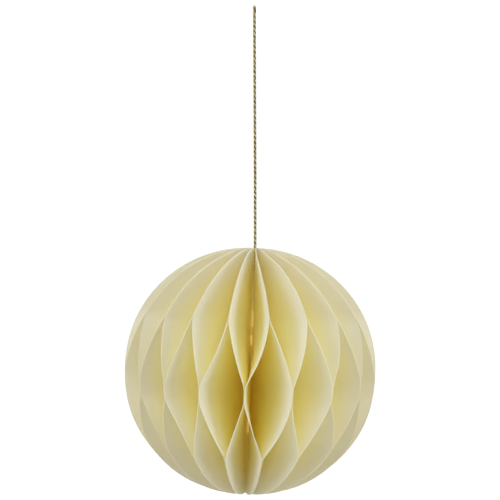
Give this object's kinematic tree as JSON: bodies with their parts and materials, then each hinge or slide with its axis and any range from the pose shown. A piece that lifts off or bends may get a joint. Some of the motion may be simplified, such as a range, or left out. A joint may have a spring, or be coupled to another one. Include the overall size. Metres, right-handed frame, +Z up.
{
  "type": "paper honeycomb ball",
  "caption": "Ball of half-disc paper leaves glued into a honeycomb round a hollow core, hanging from a twisted gold cord loop; it folds flat.",
  "frame": {"origin": "top of the hanging cord's loop, where a hook would hold it", "axes": "+Z up along the plumb cord; the front, where the first and last leaf meet, faces -Y; the ball's spine leans 2.3 degrees from +Z towards +X"},
  "size_m": [0.0999, 0.0996, 0.1938],
  "materials": {
    "paper": "matt cream paper, uncoated",
    "gold_cord": "metallic gold twisted cord",
    "binding_thread": "matt cotton thread"
  },
  "bodies": {
    "cord": {"hanging_cord": "gold_cord"},
    "core": {"cord_knot": "gold_cord", "spine_thread": "binding_thread"},
    "leaf_01": {"leaf_01": "paper"},
    "leaf_02": {"leaf_02": "paper"},
    "leaf_03": {"leaf_03": "paper"},
    "leaf_04": {"leaf_04": "paper"},
    "leaf_05": {"leaf_05": "paper"},
    "leaf_06": {"leaf_06": "paper"},
    "leaf_07": {"leaf_07": "paper"},
    "leaf_08": {"leaf_08": "paper"},
    "leaf_09": {"leaf_09": "paper"},
    "leaf_10": {"leaf_10": "paper"},
    "leaf_11": {"leaf_11": "paper"},
    "leaf_12": {"leaf_12": "paper"},
    "leaf_13": {"leaf_13": "paper"},
    "leaf_14": {"leaf_14": "paper"},
    "leaf_15": {"leaf_15": "paper"},
    "leaf_16": {"leaf_16": "paper"},
    "leaf_17": {"leaf_17": "paper"},
    "leaf_18": {"leaf_18": "paper"},
    "leaf_19": {"leaf_19": "paper"},
    "leaf_20": {"leaf_20": "paper"},
    "leaf_21": {"leaf_21": "paper"},
    "leaf_22": {"leaf_22": "paper"},
    "leaf_23": {"leaf_23": "paper"},
    "leaf_24": {"leaf_24": "paper"},
    "leaf_25": {"leaf_25": "paper"},
    "leaf_26": {"leaf_26": "paper"},
    "leaf_27": {"leaf_27": "paper"},
    "leaf_28": {"leaf_28": "paper"},
    "leaf_29": {"leaf_29": "paper"},
    "leaf_30": {"leaf_30": "paper"},
    "leaf_31": {"leaf_31": "paper"},
    "leaf_32": {"leaf_32": "paper"},
    "leaf_33": {"leaf_33": "paper"},
    "leaf_34": {"leaf_34": "paper"},
    "leaf_35": {"leaf_35": "paper"},
    "leaf_36": {"leaf_36": "paper"},
    "leaf_37": {"leaf_37": "paper"},
    "leaf_38": {"leaf_38": "paper"}
  },
  "joints": [
    {"name": "turn_on_cord", "type": "hinge", "parent": "cord", "child": "core", "pos_m": [0, 0, -0.0966], "axis": [0, 0, 1], "range_deg": [-180, 180]},
    {"name": "fold", "type": "hinge", "parent": "core", "child": "leaf_01", "pos_m": [0.00018, 0.00009, -0.14525], "axis": [0.0401, 0, 0.9992], "range_deg": [0, 175.26], "deforming": ["leaf_01"]},
    {"name": "fold_02", "type": "hinge", "parent": "core", "child": "leaf_02", "pos_m": [0.00006, 0.00025, -0.14524], "axis": [0.0401, 0, 0.9992], "range_deg": [0, 165.8], "deforming": ["leaf_02"]},
    {"name": "fold_03", "type": "hinge", "parent": "core", "child": "leaf_03", "pos_m": [-0.00005, 0.0004, -0.14524], "axis": [0.0401, 0, 0.9992], "range_deg": [0, 156.33], "deforming": ["leaf_03"]},
    {"name": "fold_04", "type": "hinge", "parent": "core", "child": "leaf_04", "pos_m": [-0.00017, 0.00053, -0.14523], "axis": [0.0401, 0, 0.9992], "range_deg": [0, 146.85], "deforming": ["leaf_04"]},
    {"name": "fold_05", "type": "hinge", "parent": "core", "child": "leaf_05", "pos_m": [-0.00028, 0.00065, -0.14523], "axis": [0.0401, 0, 0.9992], "range_deg": [0, 137.38], "deforming": ["leaf_05"]},
    {"name": "fold_06", "type": "hinge", "parent": "core", "child": "leaf_06", "pos_m": [-0.0004, 0.00076, -0.14522], "axis": [0.0401, 0, 0.9992], "range_deg": [0, 127.9], "deforming": ["leaf_06"]},
    {"name": "fold_07", "type": "hinge", "parent": "core", "child": "leaf_07", "pos_m": [-0.00051, 0.00086, -0.14522], "axis": [0.0401, 0, 0.9992], "range_deg": [0, 118.43], "deforming": ["leaf_07"]},
    {"name": "fold_08", "type": "hinge", "parent": "core", "child": "leaf_08", "pos_m": [-0.00063, 0.00094, -0.14521], "axis": [0.0401, 0, 0.9992], "range_deg": [0, 108.96], "deforming": ["leaf_08"]},
    {"name": "fold_09", "type": "hinge", "parent": "core", "child": "leaf_09", "pos_m": [-0.00074, 0.00102, -0.14521], "axis": [0.0401, 0, 0.9992], "range_deg": [0, 99.48], "deforming": ["leaf_09"]},
    {"name": "fold_10", "type": "hinge", "parent": "core", "child": "leaf_10", "pos_m": [-0.00086, 0.00109, -0.1452], "axis": [0.0401, 0, 0.9992], "range_deg": [0, 90.01], "deforming": ["leaf_10"]},
    {"name": "fold_11", "type": "hinge", "parent": "core", "child": "leaf_11", "pos_m": [-0.00097, 0.00115, -0.1452], "axis": [0.0401, 0, 0.9992], "range_deg": [0, 80.54], "deforming": ["leaf_11"]},
    {"name": "fold_12", "type": "hinge", "parent": "core", "child": "leaf_12", "pos_m": [-0.00109, 0.00121, -0.1452], "axis": [0.0401, 0, 0.9992], "range_deg": [0, 71.06], "deforming": ["leaf_12"]},
    {"name": "fold_13", "type": "hinge", "parent": "core", "child": "leaf_13", "pos_m": [-0.0012, 0.00125, -0.14519], "axis": [0.0401, 0, 0.9992], "range_deg": [0, 61.59], "deforming": ["leaf_13"]},
    {"name": "fold_14", "type": "hinge", "parent": "core", "child": "leaf_14", "pos_m": [-0.00132, 0.00129, -0.14519], "axis": [0.0401, 0, 0.9992], "range_deg": [0, 52.12], "deforming": ["leaf_14"]},
    {"name": "fold_15", "type": "hinge", "parent": "core", "child": "leaf_15", "pos_m": [-0.00143, 0.00133, -0.14518], "axis": [0.0401, 0, 0.9992], "range_deg": [0, 42.64], "deforming": ["leaf_15"]},
    {"name": "fold_16", "type": "hinge", "parent": "core", "child": "leaf_16", "pos_m": [-0.00155, 0.00135, -0.14518], "axis": [0.0401, 0, 0.9992], "range_deg": [0, 33.17], "deforming": ["leaf_16"]},
    {"name": "fold_17", "type": "hinge", "parent": "core", "child": "leaf_17", "pos_m": [-0.00166, 0.00137, -0.14517], "axis": [0.0401, 0, 0.9992], "range_deg": [0, 23.69], "deforming": ["leaf_17"]},
    {"name": "fold_18", "type": "hinge", "parent": "core", "child": "leaf_18", "pos_m": [-0.00178, 0.00138, -0.14517], "axis": [0.0401, 0, 0.9992], "range_deg": [0, 14.22], "deforming": ["leaf_18"]},
    {"name": "fold_19", "type": "hinge", "parent": "core", "child": "leaf_19", "pos_m": [-0.00189, 0.00139, -0.14516], "axis": [0.0401, 0, 0.9992], "range_deg": [0, 4.75], "deforming": ["leaf_19"]},
    {"name": "fold_20", "type": "hinge", "parent": "core", "child": "leaf_20", "pos_m": [-0.00201, 0.00139, -0.14516], "axis": [0.0401, 0, 0.9992], "range_deg": [-4.75, 0], "deforming": ["leaf_20"]},
    {"name": "fold_21", "type": "hinge", "parent": "core", "child": "leaf_21", "pos_m": [-0.00212, 0.00138, -0.14515], "axis": [0.0401, 0, 0.9992], "range_deg": [-14.22, 0], "deforming": ["leaf_21"]},
    {"name": "fold_22", "type": "hinge", "parent": "core", "child": "leaf_22", "pos_m": [-0.00224, 0.00137, -0.14515], "axis": [0.0401, 0, 0.9992], "range_deg": [-23.69, 0], "deforming": ["leaf_22"]},
    {"name": "fold_23", "type": "hinge", "parent": "core", "child": "leaf_23", "pos_m": [-0.00235, 0.00135, -0.14514], "axis": [0.0401, 0, 0.9992], "range_deg": [-33.17, 0], "deforming": ["leaf_23"]},
    {"name": "fold_24", "type": "hinge", "parent": "core", "child": "leaf_24", "pos_m": [-0.00247, 0.00133, -0.14514], "axis": [0.0401, 0, 0.9992], "range_deg": [-42.64, 0], "deforming": ["leaf_24"]},
    {"name": "fold_25", "type": "hinge", "parent": "core", "child": "leaf_25", "pos_m": [-0.00258, 0.00129, -0.14514], "axis": [0.0401, 0, 0.9992], "range_deg": [-52.12, 0], "deforming": ["leaf_25"]},
    {"name": "fold_26", "type": "hinge", "parent": "core", "child": "leaf_26", "pos_m": [-0.0027, 0.00125, -0.14513], "axis": [0.0401, 0, 0.9992], "range_deg": [-61.59, 0], "deforming": ["leaf_26"]},
    {"name": "fold_27", "type": "hinge", "parent": "core", "child": "leaf_27", "pos_m": [-0.00281, 0.00121, -0.14513], "axis": [0.0401, 0, 0.9992], "range_deg": [-71.06, 0], "deforming": ["leaf_27"]},
    {"name": "fold_28", "type": "hinge", "parent": "core", "child": "leaf_28", "pos_m": [-0.00293, 0.00115, -0.14512], "axis": [0.0401, 0, 0.9992], "range_deg": [-80.54, 0], "deforming": ["leaf_28"]},
    {"name": "fold_29", "type": "hinge", "parent": "core", "child": "leaf_29", "pos_m": [-0.00304, 0.00109, -0.14512], "axis": [0.0401, 0, 0.9992], "range_deg": [-90.01, 0], "deforming": ["leaf_29"]},
    {"name": "fold_30", "type": "hinge", "parent": "core", "child": "leaf_30", "pos_m": [-0.00316, 0.00102, -0.14511], "axis": [0.0401, 0, 0.9992], "range_deg": [-99.48, 0], "deforming": ["leaf_30"]},
    {"name": "fold_31", "type": "hinge", "parent": "core", "child": "leaf_31", "pos_m": [-0.00327, 0.00094, -0.14511], "axis": [0.0401, 0, 0.9992], "range_deg": [-108.96, 0], "deforming": ["leaf_31"]},
    {"name": "fold_32", "type": "hinge", "parent": "core", "child": "leaf_32", "pos_m": [-0.00339, 0.00086, -0.1451], "axis": [0.0401, 0, 0.9992], "range_deg": [-118.43, 0], "deforming": ["leaf_32"]},
    {"name": "fold_33", "type": "hinge", "parent": "core", "child": "leaf_33", "pos_m": [-0.0035, 0.00076, -0.1451], "axis": [0.0401, 0, 0.9992], "range_deg": [-127.9, 0], "deforming": ["leaf_33"]},
    {"name": "fold_34", "type": "hinge", "parent": "core", "child": "leaf_34", "pos_m": [-0.00362, 0.00065, -0.14509], "axis": [0.0401, 0, 0.9992], "range_deg": [-137.38, 0], "deforming": ["leaf_34"]},
    {"name": "fold_35", "type": "hinge", "parent": "core", "child": "leaf_35", "pos_m": [-0.00373, 0.00053, -0.14509], "axis": [0.0401, 0, 0.9992], "range_deg": [-146.85, 0], "deforming": ["leaf_35"]},
    {"name": "fold_36", "type": "hinge", "parent": "core", "child": "leaf_36", "pos_m": [-0.00385, 0.0004, -0.14508], "axis": [0.0401, 0, 0.9992], "range_deg": [-156.33, 0], "deforming": ["leaf_36"]},
    {"name": "fold_37", "type": "hinge", "parent": "core", "child": "leaf_37", "pos_m": [-0.00396, 0.00025, -0.14508], "axis": [0.0401, 0, 0.9992], "range_deg": [-165.8, 0], "deforming": ["leaf_37"]},
    {"name": "fold_38", "type": "hinge", "parent": "core", "child": "leaf_38", "pos_m": [-0.00408, 0.00009, -0.14508], "axis": [0.0401, 0, 0.9992], "range_deg": [-175.27, 0], "deforming": ["leaf_38"]}
  ],
  "couplings": [
    {"joint": "fold_02", "follows": "fold", "ratio": 0.94595},
    {"joint": "fold_03", "follows": "fold", "ratio": 0.89189},
    {"joint": "fold_04", "follows": "fold", "ratio": 0.83784},
    {"joint": "fold_05", "follows": "fold", "ratio": 0.78378},
    {"joint": "fold_06", "follows": "fold", "ratio": 0.72973},
    {"joint": "fold_07", "follows": "fold", "ratio": 0.67568},
    {"joint": "fold_08", "follows": "fold", "ratio": 0.62162},
    {"joint": "fold_09", "follows": "fold", "ratio": 0.56757},
    {"joint": "fold_10", "follows": "fold", "ratio": 0.51351},
    {"joint": "fold_11", "follows": "fold", "ratio": 0.45946},
    {"joint": "fold_12", "follows": "fold", "ratio": 0.40541},
    {"joint": "fold_13", "follows": "fold", "ratio": 0.35135},
    {"joint": "fold_14", "follows": "fold", "ratio": 0.2973},
    {"joint": "fold_15", "follows": "fold", "ratio": 0.24324},
    {"joint": "fold_16", "follows": "fold", "ratio": 0.18919},
    {"joint": "fold_17", "follows": "fold", "ratio": 0.13514},
    {"joint": "fold_18", "follows": "fold", "ratio": 0.081081},
    {"joint": "fold_19", "follows": "fold", "ratio": 0.027027},
    {"joint": "fold_20", "follows": "fold", "ratio": -0.027027},
    {"joint": "fold_21", "follows": "fold", "ratio": -0.081081},
    {"joint": "fold_22", "follows": "fold", "ratio": -0.13514},
    {"joint": "fold_23", "follows": "fold", "ratio": -0.18919},
    {"joint": "fold_24", "follows": "fold", "ratio": -0.24324},
    {"joint": "fold_25", "follows": "fold", "ratio": -0.2973},
    {"joint": "fold_26", "follows": "fold", "ratio": -0.35135},
    {"joint": "fold_27", "follows": "fold", "ratio": -0.40541},
    {"joint": "fold_28", "follows": "fold", "ratio": -0.45946},
    {"joint": "fold_29", "follows": "fold", "ratio": -0.51351},
    {"joint": "fold_30", "follows": "fold", "ratio": -0.56757},
    {"joint": "fold_31", "follows": "fold", "ratio": -0.62162},
    {"joint": "fold_32", "follows": "fold", "ratio": -0.67568},
    {"joint": "fold_33", "follows": "fold", "ratio": -0.72973},
    {"joint": "fold_34", "follows": "fold", "ratio": -0.78378},
    {"joint": "fold_35", "follows": "fold", "ratio": -0.83784},
    {"joint": "fold_36", "follows": "fold", "ratio": -0.89189},
    {"joint": "fold_37", "follows": "fold", "ratio": -0.94595},
    {"joint": "fold_38", "follows": "fold", "ratio": -1}
  ]
}
